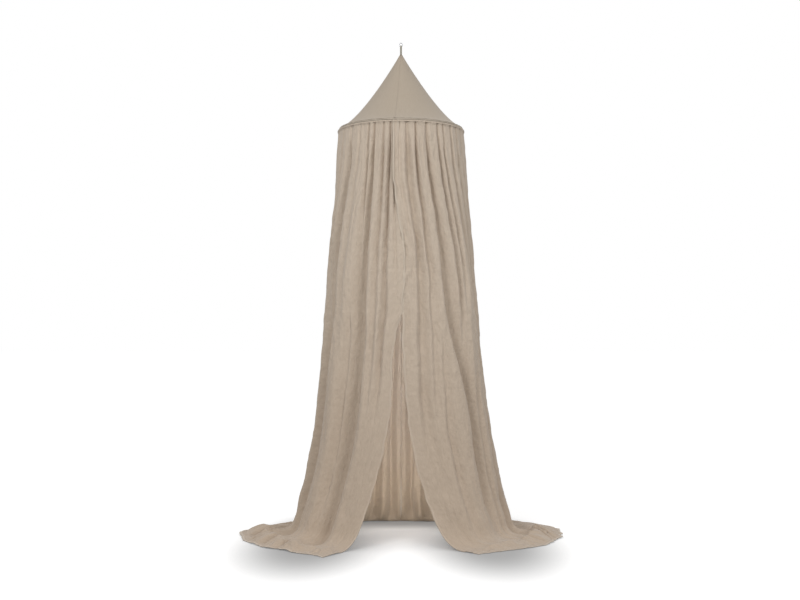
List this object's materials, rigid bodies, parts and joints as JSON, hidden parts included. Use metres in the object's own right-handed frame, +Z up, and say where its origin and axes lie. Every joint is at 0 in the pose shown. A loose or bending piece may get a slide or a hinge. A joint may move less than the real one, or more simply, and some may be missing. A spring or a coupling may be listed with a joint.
{
  "type": "bed crown canopy",
  "caption": "Hanging bed canopy: cloth cone over a round hoop, with a long gathered muslin curtain that parts at the front and trails on the floor.",
  "frame": {"origin": "the top of the hanging ring's eye, where the ceiling hook carries it", "axes": "+Z up along the hanging line, +Y towards the closed back, so the front slit faces -Y, and +X to the right of someone who looks at the front"},
  "size_m": [1.3075, 0.8904, 1.9894],
  "materials": {
    "ring_steel": "bright nickel-plated wire",
    "hoop_steel": "plain drawn wire",
    "joiner_plastic": "matt tube",
    "tape_cotton": "narrow woven tape",
    "cone_cotton": "plain smooth weave",
    "piping_cotton": "covered cord",
    "casing_cotton": "plain weave, in shade",
    "muslin": "crinkled double gauze",
    "binding_cotton": "folded plain weave"
  },
  "bodies": {
    "ring": {"hanging_ring": "ring_steel"},
    "canopy": {"hanging_tape": "tape_cotton", "apex_patch": "cone_cotton", "cone_gore_front_right": "cone_cotton", "cone_gore_back_right": "cone_cotton", "cone_gore_back_left": "cone_cotton", "cone_gore_front_left": "cone_cotton", "cone_piping": "piping_cotton", "hoop_casing": "casing_cotton", "hoop_joiner_front": "joiner_plastic", "hoop_joiner_back": "joiner_plastic", "hoop_half_left": "hoop_steel", "hoop_half_right": "hoop_steel", "back_panel_left": "muslin", "back_hem_left": "muslin", "back_panel_right": "muslin", "back_hem_right": "muslin"},
    "left_panel": {"front_panel_left": "muslin", "front_hem_left": "muslin", "front_binding_left": "binding_cotton"},
    "right_panel": {"front_panel_right": "muslin", "front_hem_right": "muslin", "front_binding_right": "binding_cotton"}
  },
  "joints": [
    {"name": "canopy_swing", "type": "hinge", "parent": "ring", "child": "canopy", "pos_m": [0, 0, -0.0134], "axis": [1, 0, 0], "range_deg": [-6, 6]},
    {"name": "left_panel_draw", "type": "hinge", "parent": "canopy", "child": "left_panel", "pos_m": [-0.2552, 0, -0.361], "axis": [0, 1, 0], "range_deg": [0, 14]},
    {"name": "right_panel_draw", "type": "hinge", "parent": "canopy", "child": "right_panel", "pos_m": [0.2552, 0, -0.361], "axis": [0, -1, 0], "range_deg": [0, 14]}
  ]
}
